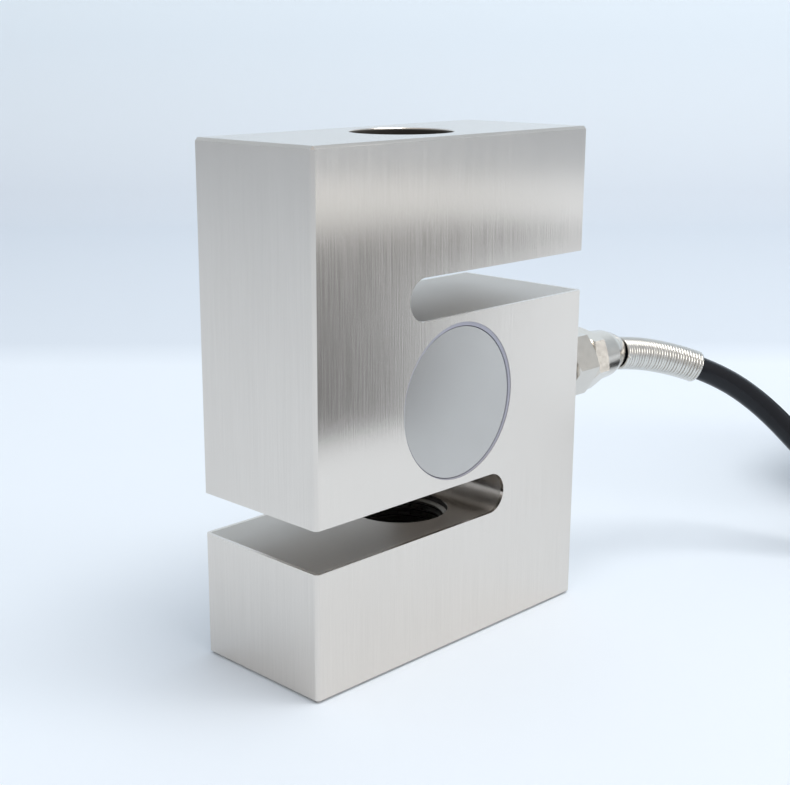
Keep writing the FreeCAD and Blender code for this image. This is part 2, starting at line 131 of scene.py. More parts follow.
# Level direction from the camera's side towards the backdrop, and its sheet
AWAY = Vector((0.6990, 0.7151, 0.0))
SHEET_FRONT = -2.5
SHEET_HALF_WIDTH = 3.0
SHEET_HEIGHT = 2.5
SHEET_DROP = 0.00005
BEND_STEPS = 16

# Lengths over which the floor's colour turns into the wall's painted shade, and that
# into the upper part's painted light, before and after the backdrop
FOOT_BLEND = 0.04
RISE_BEFORE = 0.04
RISE_AFTER = 0.16

# The two cards that the front face reflects, painting a dark and a pale band into its
# reflection: corners on the floor and colour
CARD_LIFT = 0.0003
CARDS = {
    "dark_card": {
        "corners": (
            (0.040, -0.140),
            (0.122, -0.140),
            (0.200, -0.205),
            (0.250, -0.250),
            (0.340, -0.315),
            (0.500, -0.360),
            (0.540, -0.400),
            (0.540, -0.470),
            (0.040, -0.470),
        ),
        "tint": (0.15, 0.155, 0.165),
    },
    "pale_card": {
        "corners": ((0.040, -0.470), (0.620, -0.470), (0.900, -0.780), (0.040, -0.780)),
        "tint": (0.52, 0.54, 0.56),
    },
}

# Each lamp's place, the point it faces, its side and its power in watts
LAMPS = {
    "top_panel": {
        "place": (0.14, -0.26, 1.05),
        "target": (0.0, 0.0, 0.05),
        "size": 0.56,
        "power": 5.1,
    },
    "right_panel": {
        "place": (0.60, -0.75, 0.27),
        "target": (0.05, 0.0, 0.05),
        "size": 0.34,
        "power": 1.7,
    },
}

# The camera's place, its angles and its shift
CAMERA_PLACE = Vector((-0.19498, -0.18592, 0.11897))
CAMERA_TURN = math.radians(-44.421)
CAMERA_RISE = math.radians(14.748)
CAMERA_ROLL = math.radians(-0.138)
CAMERA_SHIFT = (0.05116, 0.00966)


# ------------------------------------------------------------------- settings
def length(name, description, default, low=0.0):
    """Return a length property in metres."""
    return FloatProperty(
        name=name,
        description=description,
        default=default,
        min=low,
        precision=5,
        subtype="DISTANCE",
        unit="LENGTH",
    )


def colour(name, description, default):
    """Return a colour property."""
    return FloatVectorProperty(
        name=name, description=description, default=default, min=0.0, max=1.0, size=3, subtype="COLOR"
    )


def factor(name, description, default, high=1.0):
    """Return a plain number from 0 to a highest value."""
    return FloatProperty(name=name, description=description, default=default, min=0.0, max=high)


class SteelSettings(PropertyGroup):
    """Finish of the ground steel block and its covers"""

    body_colour: colour("Body Colour", "Colour of the plated steel block", (0.735, 0.685, 0.63))
    cover_colour: colour("Cover Colour", "Colour of the round covers", (0.52, 0.505, 0.485))
    body_roughness: factor("Body Roughness", "Spread of the block's reflections", 0.16)
    body_grain: factor("Body Grain", "How much wider the reflections are across the brush", 0.75)
    cover_roughness: factor("Cover Roughness", "Spread of the covers' reflections", 0.22)
    # Painted shade: the colour of the slots' faces and of the bores keeps only these shares of the
    # block's brightness
    slot_painted_shade: factor("Slot Tint", "Share of the block's brightness left on milled faces", 0.74)
    bore_painted_shade: factor("Bore Tint", "Share of the block's brightness left in the bores", 0.16)
    brush_width: length("Brush Width", "Typical width of one brush mark", 0.00025)
    brush_depth: length("Brush Depth", "Height of the brush marks", 0.000005)


class ThreadSettings(PropertyGroup):
    """Sizes of the thread in the two mounting holes"""

    pitch: length("Pitch", "Distance from one turn of the thread to the next", 0.0015, 0.0005)
    depth: length("Depth", "Height of the thread above its root", 0.00081)
    crest: length("Crest", "Width of the thread's flat crest", 0.00038)
    steps: IntProperty(name="Steps", description="Sections in one turn of thread", default=56, min=16)


class SpringSettings(PropertyGroup):
    """Sizes of the relief spring"""

    wire: length("Wire Diameter", "Diameter of the spring's wire", 0.0008)
    outside: length("Outside Diameter", "Diameter over the spring's turns", 0.0075)
    turns: IntProperty(name="Turns", description="Number of close turns", default=29, min=3)
    gap: length("Gap", "Distance from the nut's mouth to the first turn", 0.00062)
    steps: IntProperty(name="Steps", description="Sections in one turn of wire", default=40, min=12)


class CableSettings(PropertyGroup):
    """Sizes and colours of the cable and its leads"""

    diameter: length("Diameter", "Diameter of the cable's jacket", 0.0055)
    full_length: length("Length", "Length of the cable from the gland", 3.0)
    turns: IntProperty(name="Turns", description="Full turns in the coil", default=15, min=2)
    tail_rise: length("Tail Rise", "From the coil's top to the middle of the last stretch", 0.00305)
    tie_lift: length("Tie Lift", "Rise of the lowest turns over the tie", 0.0012)
    jacket_colour: colour("Jacket Colour", "Colour of the cable's jacket", (0.006, 0.007, 0.010))
    jacket_roughness: factor("Jacket Roughness", "Spread of the jacket's reflections", 0.24)


class MetalSettings(PropertyGroup):
    """Finish of the plated fittings"""

    nickel_colour: colour("Nickel Colour", "Colour of the plated gland", (0.72, 0.68, 0.62))
    spring_colour: colour("Spring Colour", "Colour of the spring's wire", (0.70, 0.68, 0.64))
    nickel_roughness: factor("Nickel Roughness", "Spread of the gland's reflections", 0.20)
    spring_roughness: factor("Spring Roughness", "Spread of the wire's reflections", 0.22)


class StageSettings(PropertyGroup):
    """Studio floor, backdrop, light from all round and lens"""

    floor_colour: colour("Floor Colour", "Colour of the studio floor", (0.84, 0.90, 0.97))
    # Painted shade and light: the wall colour darkens the far floor and the lower backdrop, the upper
    # colour lightens the backdrop's upper part
    wall_painted_shade: colour("Wall Colour", "Colour of the backdrop behind the object", (0.73, 0.79, 0.865))
    upper_painted_light: colour("Upper Colour", "Colour of the backdrop's upper part", (0.88, 0.95, 1.0))
    wall_distance: length("Wall Distance", "From the load axis to the backdrop", 0.74)
    wall_bend: length("Wall Bend", "Radius where the floor turns up into the backdrop", 0.12)
    near_floor: length("Near Floor", "From the load axis to where the floor's colour ends", 0.235)
    sky_strength: factor("Sky Strength", "Brightness of the light from all round", 0.63, 4.0)
    lens: FloatProperty(name="Lens", description="Focal length in millimetres", default=62.74, min=1.0)


class LoadCellSettings(PropertyGroup):
    """All settings of the load cell"""

    steel: PointerProperty(type=SteelSettings)
    thread: PointerProperty(type=ThreadSettings)
    spring: PointerProperty(type=SpringSettings)
    cable: PointerProperty(type=CableSettings)
    metal: PointerProperty(type=MetalSettings)
    stage: PointerProperty(type=StageSettings)


# ------------------------------------------------------------- material tools
class Finish:
    """A new material and short ways to add nodes to it."""

    def __init__(self, name, base, roughness, metallic=0.0):
        self.material = bpy.data.materials.new(name)
        self.material.use_nodes = True
        self.tree = self.material.node_tree
        self.shader = self.tree.nodes["Principled BSDF"]
        self.shader.inputs["Base Color"].default_value = (*base, 1.0)
        self.shader.inputs["Roughness"].default_value = roughness
        self.shader.inputs["Metallic"].default_value = metallic
        self.base = base
        self.roughness = roughness

    def node(self, kind, **values):
        """Add a node and set its properties."""
        made = self.tree.nodes.new(kind)
        for key, value in values.items():
            setattr(made, key, value)
        return made

    def link(self, output, target):
        """Join an output socket to an input socket."""
        self.tree.links.new(output, target)

    def place(self, scale):
        """Return object coordinates stretched by a scale."""
        source = self.node("ShaderNodeTexCoord")
        mapping = self.node("ShaderNodeMapping")
        mapping.inputs["Scale"].default_value = scale
        self.link(source.outputs["Object"], mapping.inputs["Vector"])
        return mapping.outputs["Vector"]

    def noise(self, vector, scale, detail, roughness):
        """Return a noise value over a vector."""
        made = self.node("ShaderNodeTexNoise")
        made.inputs["Scale"].default_value = scale
        made.inputs["Detail"].default_value = detail
        made.inputs["Roughness"].default_value = roughness
        self.link(vector, made.inputs["Vector"])
        return made.outputs["Fac"]

    def speckle(self, scale, detail, roughness=0.5):
        """Return a noise value of the same scale in every direction."""
        return self.noise(self.place((1.0, 1.0, 1.0)), scale, detail, roughness)

    def spread(self, value, low, high, start=0.0, end=1.0):
        """Map a value from start..end to low..high."""
        made = self.node("ShaderNodeMapRange")
        made.inputs["From Min"].default_value = start
        made.inputs["From Max"].default_value = end
        made.inputs["To Min"].default_value = low
        made.inputs["To Max"].default_value = high
        self.link(value, made.inputs["Value"])
        return made.outputs["Result"]

    def maths(self, kind, first, second=0.0):
        """Return a math node's result for two values, sockets or plain numbers."""
        made = self.node("ShaderNodeMath", operation=kind)
        for index, value in enumerate((first, second)):
            if isinstance(value, (int, float)):
                made.inputs[index].default_value = value
            else:
                self.link(value, made.inputs[index])
        return made.outputs[0]

    def mixed(self, share, first, second):
        """Return a mix of two colours, each a tuple or an output socket."""
        made = self.node("ShaderNodeMix", data_type="RGBA")
        self.link(share, made.inputs["Factor"])
        for key, value in (("A", first), ("B", second)):
            socket = [s for s in made.inputs if s.name == key and s.type == "RGBA"][0]
            if isinstance(value, tuple):
                socket.default_value = (*value, 1.0)
            else:
                self.link(value, socket)
        return [s for s in made.outputs if s.type == "RGBA"][0]

    def blended(self, share, first, second):
        """Return a mix of two values by a share."""
        made = self.node("ShaderNodeMix", data_type="FLOAT")
        self.link(share, made.inputs[0])
        for index, value in ((2, first), (3, second)):
            if isinstance(value, (int, float)):
                made.inputs[index].default_value = value
            else:
                self.link(value, made.inputs[index])
        return made.outputs[0]

    def bump(self, height, distance):
        """Raise the surface by a height value."""
        made = self.node("ShaderNodeBump")
        made.inputs["Distance"].default_value = distance
        self.link(height, made.inputs["Height"])
        self.link(made.outputs["Normal"], self.shader.inputs["Normal"])

    def tinted(self, share, amount):
        """Vary the base colour's brightness by a share, by an amount each way."""
        dark = tuple(part * (1.0 - amount) for part in self.base)
        light = tuple(min(1.0, part * (1.0 + amount)) for part in self.base)
        out = self.mixed(share, dark, light)
        self.link(out, self.shader.inputs["Base Color"])
        return out

    def roughened(self, share, amount):
        """Vary the roughness by a share, by an amount each way."""
        out = self.spread(share, self.roughness - amount, self.roughness + amount)
        self.link(out, self.shader.inputs["Roughness"])
        return out


def paint(node, finish):
    """Give a CAD node's object a finish."""
    piece = frame["nodes"][node]
    piece.data.materials.clear()
    piece.data.materials.append(finish.material)


# ------------------------------------------------------------------ mesh tools
def add_piece(name, data, finish):
    """Link a new object, give it its finish and let it ride on the part."""
    piece = bpy.data.objects.new(name, data)
    bpy.context.scene.collection.objects.link(piece)
    data.materials.append(finish.material)
    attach(piece, "root")
    return piece


def smooth_mesh(name, points, faces):
    """Return a smooth-shaded mesh."""
    mesh = bpy.data.meshes.new(name)
    mesh.from_pydata(points, [], faces)
    mesh.shade_smooth()
    mesh.update()
    return mesh


def swept(name, middles, frames, outline):
    """Return a closed tube mesh: an outline carried along a line's middles.

    Each frame holds the two directions across the line at its middle.
    """
    points = []
    faces = []
    count = len(outline)
    for middle, (side, up) in zip(middles, frames):
        for across, over in outline:
            points.append(middle + side * across + up * over)
    for step in range(len(middles) - 1):
        for index in range(count):
            after = (index + 1) % count
            a = step * count + index
            b = step * count + after
            faces.append((a, b, b + count, a + count))
    faces.append(tuple(range(count - 1, -1, -1)))
    last = (len(middles) - 1) * count
    faces.append(tuple(range(last, last + count)))
    return smooth_mesh(name, points, faces)


def ring_outline(radius, count):
    """Return the points of a circle as (across, over) pairs."""
    turns = [2.0 * math.pi * step / count for step in range(count)]
    return [(radius * math.cos(turn), radius * math.sin(turn)) for turn in turns]


def carried_frames(middles):
    """Return directions across a line, carried along it without twist."""
    frames = []
    side = None
    for index in range(len(middles)):
        before = middles[max(index - 1, 0)]
        after = middles[min(index + 1, len(middles) - 1)]
        along = (after - before).normalized()
        if side is None:
            side = along.cross(Vector((0.0, 0.0, 1.0))).normalized()
        side = (side - along * side.dot(along)).normalized()
        frames.append((side, along.cross(side)))
    return frames


# ---------------------------------------------------------------- cable tools
def cable_curve(name, points, diameter):
    """Return a NURBS cable of a diameter through its route points.

    The points carry the cable's radius, so that the bevel of 1 scales to it and
    the curve's own bounds end at the jacket.
    """
    curve = bpy.data.curves.new(name, "CURVE")
    curve.dimensions = "3D"
    spline = curve.splines.new("NURBS")
    spline.points.add(len(points) - 1)
    for knot, point in zip(spline.points, points):
        knot.co = (*point, 1.0)
        knot.radius = diameter / 2.0
    spline.order_u = 3
    spline.use_endpoint_u = True
    curve.resolution_u = CABLE_STEPS
    curve.bevel_depth = 1.0
    curve.bevel_resolution = CABLE_ROUNDNESS
    curve.use_fill_caps = True
    return curve


def curve_line(curve):
    """Return the points that a curve's own line runs through."""
    depth = curve.bevel_depth
    curve.bevel_depth = 0.0
    carrier = bpy.data.objects.new("line_reader", curve)
    bpy.context.scene.collection.objects.link(carrier)
    bpy.context.view_layer.update()
    graph = bpy.context.evaluated_depsgraph_get()
    mesh = bpy.data.meshes.new_from_object(carrier.evaluated_get(graph))
    line = [vertex.co.copy() for vertex in mesh.vertices]
    bpy.data.objects.remove(carrier)
    bpy.data.meshes.remove(mesh)
    curve.bevel_depth = depth
    return line


def walk(line, distance):
    """Return the point and the direction at a distance along a line."""
    left = distance
    for start, end in zip(line, line[1:]):
        step = (end - start).length
        if left <= step and step > 0.0:
            return start.lerp(end, left / step), (end - start).normalized()
        left -= step
    return line[-1].copy(), (line[-1] - line[-2]).normalized()


def eased(value):
    """Return a smooth share from 0 to 1."""
    value = min(1.0, max(0.0, value))
    return value * value * (3.0 - 2.0 * value)


def turn_place(cable, turn):
    """Return the radius at the ends and the height of one turn's place in the coil.

    Each level holds two turns, and the cable goes in and out by turns.
    """
    level, step = divmod(turn, 2)
    inner = step != level % 2
    radius = COIL_HALF_WIDTH - cable.diameter * (1.5 if inner else 0.5)
    return radius, cable.diameter * (0.5 + level)


def turn_point(radius, index):
    """Return one of the sixteen route points of an oval turn, as x and y.

    The points bound the oval: two on each straight side and six round each end.
    """
    half_step = math.radians(END_STEP / 2.0)
    corner = radius * math.tan(half_step)
    side, step = divmod(index, SIDE_POINTS)
    sign = -1.0 if side else 1.0
    if step < STRAIGHT_POINTS:
        x = (COIL_HALF_STRAIGHT - corner) * (-1.0 if step == 0 else 1.0)
        y = -radius
    else:
        turn = math.radians(END_STEP * (step - STRAIGHT_POINTS + 0.5) - 90.0)
        reach = radius / math.cos(half_step)
        x = COIL_HALF_STRAIGHT + reach * math.cos(turn)
        y = reach * math.sin(turn)
    return sign * x, sign * y


def coil_points(cable):
    """Return the route points of the stored turns and of the tail on top.

    A turn changes to the next place along the far side.  Each later turn does
    it a little earlier, so that it has left before the next one comes.
    """
    tail_radius = COIL_HALF_WIDTH - cable.diameter
    tail_height = COIL_TOP + cable.tail_rise
    top_middle = COIL_TOP - cable.diameter / 2.0
    points = []
    for turn in range(cable.turns + 1):
        radius, height = turn_place(cable, turn)
        if turn < cable.turns:
            next_radius, next_height = turn_place(cable, turn + 1)
        else:
            next_radius, next_height = tail_radius, tail_height
        begin = CHANGE_BEGIN - CHANGE_ADVANCE * turn
        for index in range(1 if turn == 0 else 0, TURN_POINTS):
            change = eased((index - begin) / CHANGE_SPAN)
            at_radius = radius + (next_radius - radius) * change
            at_height = height + (next_height - height) * change
            x, y = turn_point(at_radius, index)
            if index % SIDE_POINTS < STRAIGHT_POINTS:
                at_height += cable.tie_lift * max(0.0, 1.0 - at_height / top_middle)
            points.append((COIL_MIDDLE.x + x, COIL_MIDDLE.y + y, at_height))
    points.append((COIL_MIDDLE.x - COIL_HALF_STRAIGHT, COIL_MIDDLE.y - tail_radius, tail_height))
    return points


# ------------------------------------------------------------------- finishes
def ground_steel(settings):
    """Return the block's ground steel, with brush marks along each face and painted shade in the bores
    and the slots.
    """
    finish = Finish("ground_steel", tuple(settings.body_colour), settings.body_roughness, 1.0)
    fine = 1.0 / settings.brush_width
    drawn_out = fine / BRUSH_STRETCH
    upright = finish.place((fine, fine, drawn_out))
    level = finish.place((drawn_out, fine, fine))
    marks_upright = finish.noise(upright, 1.0, 4.0, 0.6)
    marks_level = finish.noise(level, 1.0, 4.0, 0.6)
    facing = finish.node("ShaderNodeNewGeometry")
    split = finish.node("ShaderNodeSeparateXYZ")
    finish.link(facing.outputs["True Normal"], split.inputs[0])
    flat = finish.maths("ABSOLUTE", split.outputs["Z"])
    lying = finish.maths("GREATER_THAN", flat, FLAT_LIMIT)
    marks = finish.spread(finish.blended(lying, marks_upright, marks_level), 0.0, 1.0, 0.3, 0.7)
    cloud = finish.noise(finish.place((1.0, 1.0, 0.35)), 55.0, 3.0, 0.5)
    brushed = finish.maths("MULTIPLY", marks, BRUSH_SHARE)
    clouded = finish.maths("MULTIPLY", cloud, 1.0 - BRUSH_SHARE)
    wear = finish.maths("ADD", brushed, clouded)
    plain = finish.tinted(wear, 0.06)
    shade = cut_shade(finish, settings)
    # Painted shade: the bores and the slots' faces get a darker base colour by the cut mask
    dark = tuple(part * settings.bore_painted_shade for part in finish.base)
    tone = finish.mixed(shade, plain, dark)
    finish.link(tone, finish.shader.inputs["Base Color"])
    milled = finish.maths("MULTIPLY", shade, 0.6)
    rough = finish.maths("ADD", finish.roughened(marks, 0.04), milled)
    finish.link(rough, finish.shader.inputs["Roughness"])
    finish.bump(marks, settings.brush_depth)
    across = finish.node("ShaderNodeVectorMath", operation="CROSS_PRODUCT")
    across.inputs[1].default_value = (0.02, 0.0, 1.0)
    finish.link(facing.outputs["True Normal"], across.inputs[0])
    finish.link(across.outputs[0], finish.shader.inputs["Tangent"])
    finish.shader.inputs["Anisotropic"].default_value = settings.body_grain
    return finish


def cut_shade(finish, settings):
    """Return the share of painted shade: 1 in the bores, less on the slots' faces."""
    source = finish.node("ShaderNodeTexCoord")
    place = finish.node("ShaderNodeSeparateXYZ")
    finish.link(source.outputs["Object"], place.inputs[0])
    x, y, z = place.outputs
    across = finish.maths("ADD", finish.maths("MULTIPLY", x, x), finish.maths("MULTIPLY", y, y))
    bore = finish.maths("LESS_THAN", across, (THREAD_RADIUS + BORE_MARGIN) ** 2)
    middle = BODY_HIGH.z / 2.0
    from_middle = finish.maths("ABSOLUTE", finish.maths("SUBTRACT", z, middle))
    in_arm = finish.maths("GREATER_THAN", from_middle, middle - THREAD_LENGTH - END_MARGIN)
    shades = [finish.maths("MULTIPLY", bore, in_arm)]
    slot_share = (1.0 - settings.slot_painted_shade) / (1.0 - settings.bore_painted_shade)
    for name in ("lower_slot", "upper_slot"):
        low, high = OPENINGS[name]
        share = slot_share
        for value, face in ((x, BODY_HIGH.x), (y, BODY_HIGH.y)):
            inside = finish.maths("LESS_THAN", finish.maths("ABSOLUTE", value), face - OUTER_MARGIN)
            share = finish.maths("MULTIPLY", inside, share)
        above = finish.maths("GREATER_THAN", z, low[2] - SLOT_MARGIN)
        below = finish.maths("LESS_THAN", z, high[2] + SLOT_MARGIN)
        share = finish.maths("MULTIPLY", share, above)
        share = finish.maths("MULTIPLY", share, below)
        shades.append(share)
    shade = shades[0]
    for other in shades[1:]:
        shade = finish.maths("MAXIMUM", shade, other)
    return shade


def cover_steel(settings):
    """Return the covers' fine satin steel."""
    finish = Finish("cover_steel", tuple(settings.cover_colour), settings.cover_roughness, 1.0)
    grain = finish.speckle(5200.0, 2.0)
    cloud = finish.speckle(90.0, 2.0)
    finish.tinted(cloud, 0.05)
    finish.roughened(grain, 0.05)
    finish.bump(grain, 0.000002)
    return finish


def plated(name, base, roughness):
    """Return a bright plated metal with faint handling marks."""
    finish = Finish(name, base, roughness, 1.0)
    cloud = finish.speckle(700.0, 3.0, 0.6)
    grain = finish.speckle(9000.0, 2.0)
    finish.tinted(cloud, 0.08)
    finish.roughened(cloud, 0.06)
    finish.bump(grain, 0.000002)
    return finish


def moulded(name, base, roughness, grain_size=0.0002, depth=0.00001, tint=0.10):
    """Return a moulded or extruded plastic with a fine grain."""
    finish = Finish(name, base, roughness)
    grain = finish.speckle(1.0 / grain_size, 3.0)
    cloud = finish.speckle(140.0, 2.0)
    finish.tinted(cloud, tint)
    finish.roughened(grain, 0.05)
    finish.bump(grain, depth)
    return finish


# ------------------------------------------------------------------ operators
class LOADCELL_OT_finish_block(Operator):
    """Give the steel block and its covers their ground and satin finishes"""

    bl_idname = "loadcell.finish_block"
    bl_label = "Finish Block and Covers"

    def execute(self, context):
        steel = context.scene.load_cell.steel
        paint("load_body", ground_steel(steel))
        satin = cover_steel(steel)
        paint("front_cover", satin)
        paint("rear_cover", satin)
        sealant = moulded("sealant_grey", (0.36, 0.36, 0.42), 0.55, 0.0003, 0.00003)
        paint("front_sealant", sealant)
        paint("rear_sealant", sealant)
        return {"FINISHED"}


class LOADCELL_OT_finish_inside(Operator):
    """Give the gauges, boards and wires behind the covers their finishes"""

    bl_idname = "loadcell.finish_inside"
    bl_label = "Finish Inner Pieces"

    def execute(self, context):
        foil = moulded("gauge_film", (0.62, 0.36, 0.10), 0.35, 0.0001, 0.00001, 0.15)
        clear = moulded("clear_coating", (0.72, 0.70, 0.60), 0.30, 0.0004, 0.00002)
        board = moulded("board_mask", (0.03, 0.20, 0.09), 0.35, 0.0002, 0.00001)
        solder = plated("tinned_solder", (0.72, 0.72, 0.71), 0.30)
        body = moulded("resistor_lacquer", (0.66, 0.54, 0.34), 0.40, 0.0002, 0.00001)
        copper = plated("bare_copper", (0.80, 0.44, 0.28), 0.30)
        for side in ("front", "rear"):
            paint(side + "_gauges", foil)
            paint(side + "_coating", clear)
            paint(side + "_board", board)
        paint("terminal_pads", solder)
        paint("trim_resistors", body)
        paint("gauge_jumpers", copper)
        paint("bridge_ribbon", copper)
        return {"FINISHED"}


class LOADCELL_OT_cut_threads(Operator):
    """Wind the thread in the two mounting holes"""

    bl_idname = "loadcell.cut_threads"
    bl_label = "Cut Threads"

    def execute(self, context):
        thread = context.scene.load_cell.thread
        finish = Finish("cut_thread", (0.34, 0.33, 0.31), 0.30, 1.0)
        marks = finish.speckle(1500.0, 3.0)
        finish.tinted(marks, 0.15)
        finish.roughened(marks, 0.08)
        finish.bump(marks, 0.00001)
        for name in ("lower_thread", "upper_thread"):
            mount = MOUNTS[name]
            inward = -1.0 if mount["axis"][2] > 0.0 else 1.0
            mouth = mount["pos_m"][2]
            mesh = self.ridge(name, thread, mouth, inward)
            add_piece(name + "_ridge", mesh, finish)
        return {"FINISHED"}

    def ridge(self, name, thread, mouth, inward):
        """Return the mesh of one helical ridge that runs out at both ends."""
        flank = thread.depth * math.tan(FLANK_ANGLE)
        half_root = thread.crest / 2.0 + flank
        start = half_root
        end = THREAD_LENGTH - half_root
        turns = (end - start) / thread.pitch
        count = int(turns * thread.steps)
        points = []
        faces = []
        for index in range(count + 1):
            turn = 2.0 * math.pi * index / thread.steps
            travel = start + thread.pitch * index / thread.steps
            runout = eased(min(index, count - index) / (thread.steps * RUNOUT_TURNS))
            outer = THREAD_RADIUS + ROOT_SINK
            inner = THREAD_RADIUS - thread.depth * runout
            section = (
                (outer, -half_root),
                (inner, -thread.crest / 2.0),
                (inner, thread.crest / 2.0),
                (outer, half_root),
            )
            for radius, along in section:
                height = mouth + inward * (travel + along)
                points.append((radius * math.cos(turn), inward * radius * math.sin(turn), height))
        for index in range(count):
            first = index * SECTION_CORNERS
            then = first + SECTION_CORNERS
            for side in range(SECTION_CORNERS):
                after = (side + 1) % SECTION_CORNERS
                faces.append((first + side, then + side, then + after, first + after))
        faces.append((0, 1, 2, 3))
        last = count * SECTION_CORNERS
        faces.append((last + 3, last + 2, last + 1, last))
        mesh = smooth_mesh(name + "_ridge", points, faces)
        mesh.set_sharp_from_angle(angle=SHARP_ANGLE)
        return mesh


class LOADCELL_OT_finish_gland(Operator):
    """Give the gland, its washers and its seal their finishes"""

    bl_idname = "loadcell.finish_gland"
    bl_label = "Finish Gland"

    def execute(self, context):
        metal = context.scene.load_cell.metal
        nickel = plated("nickel_plate", tuple(metal.nickel_colour), metal.nickel_roughness)
        rubber = moulded("seal_rubber", (0.03, 0.03, 0.03), 0.65, 0.0002, 0.00002)
        for node in ("gland_body", "gland_nut", "slip_washer"):
            paint(node, nickel)
        for node in ("gland_washer", "cable_seal"):
            paint(node, rubber)
        return {"FINISHED"}


class LOADCELL_OT_run_cable(Operator):
    """Run the cable from the gland to the floor and wind its spare length"""

    bl_idname = "loadcell.run_cable"
    bl_label = "Run Cable"

    def execute(self, context):
        cable = context.scene.load_cell.cable
        finish = moulded(
            "cable_jacket", tuple(cable.jacket_colour), cable.jacket_roughness, 0.0005, 0.000006, 0.2
        )
        finish.shader.inputs["Specular IOR Level"].default_value = 0.3
        points = list(CABLE_ROUTE) + coil_points(cable)
        curve = cable_curve("cable", points, cable.diameter)
        piece = add_piece("cable", curve, finish)
        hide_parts("cable_run", "cable_coil", "cable_tail")
        paint("cable_root", finish)
        return {"FINISHED"}


class LOADCELL_OT_wind_spring(Operator):
    """Wind the relief spring round the cable's first stretch"""

    bl_idname = "loadcell.wind_spring"
    bl_label = "Wind Relief Spring"

    def execute(self, context):
        settings = context.scene.load_cell
        spring = settings.spring
        if "cable" not in bpy.data.objects:
            raise RuntimeError("the relief spring needs the cable, which is run first")
        line = curve_line(bpy.data.objects["cable"].data)
        begin = NUT_HIGH.x + spring.gap - line[0].x + spring.wire / 2.0
        travel = (spring.turns - 1) * spring.wire
        count = (spring.turns + 1) * spring.steps
        radius = (spring.outside - spring.wire) / 2.0
        stations = []
        directions = []
        for index in range(count + 1):
            share = (index - spring.steps) / (count - 2 * spring.steps)
            share = min(1.0, max(0.0, share))
            place, along = walk(line, begin + travel * share)
            stations.append(place)
            directions.append(along)
        middles = []
        side = directions[0].cross(Vector((0.0, 0.0, 1.0))).normalized()
        for index, (place, along) in enumerate(zip(stations, directions)):
            side = (side - along * side.dot(along)).normalized()
            up = along.cross(side)
            turn = 2.0 * math.pi * index / spring.steps
            out = side * (radius * math.cos(turn)) + up * (radius * math.sin(turn))
            middles.append(place + out)
        metal = settings.metal
        finish = plated("spring_wire", tuple(metal.spring_colour), metal.spring_roughness)
        outline = ring_outline(spring.wire / 2.0, WIRE_SIDES)
        mesh = swept("spring", middles, carried_frames(middles), outline)
        piece = add_piece("spring", mesh, finish)
        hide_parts("relief_spring")
        return {"FINISHED"}


class LOADCELL_OT_dress_leads(Operator):
    """Finish the tie, the end sleeve and the bare leads at the cable's end"""

    bl_idname = "loadcell.dress_leads"
    bl_label = "Dress Cable End"

    def execute(self, context):
        paint("coil_tie", moulded("tie_nylon", (0.03, 0.03, 0.03), 0.45, 0.0003, 0.00001))
        paint("end_sleeve", moulded("shrunk_sleeve", (0.02, 0.02, 0.02), 0.55, 0.0003, 0.00002))
        tints = {
            "red": (0.62, 0.02, 0.02),
            "black": (0.015, 0.015, 0.015),
            "green": (0.02, 0.30, 0.08),
            "white": (0.80, 0.80, 0.78),
            "shield": (0.78, 0.60, 0.05),
        }
        for name, tint in tints.items():
            finish = moulded("lead_" + name + "_skin", tint, 0.35, 0.0002, 0.000004, 0.06)
            paint("lead_" + name, finish)
            if name != "shield":
                paint("inner_lead_" + name, finish)
        paint("lead_tips", plated("lead_tin", (0.74, 0.74, 0.73), 0.28))
        return {"FINISHED"}


class LOADCELL_OT_declare_cable(Operator):
    """Do nothing: the cable's length, its thickness and the pieces on it are not stated here"""

    bl_idname = "loadcell.declare_cable"
    bl_label = "Declare Cable"

    def execute(self, context):
        return {"FINISHED"}


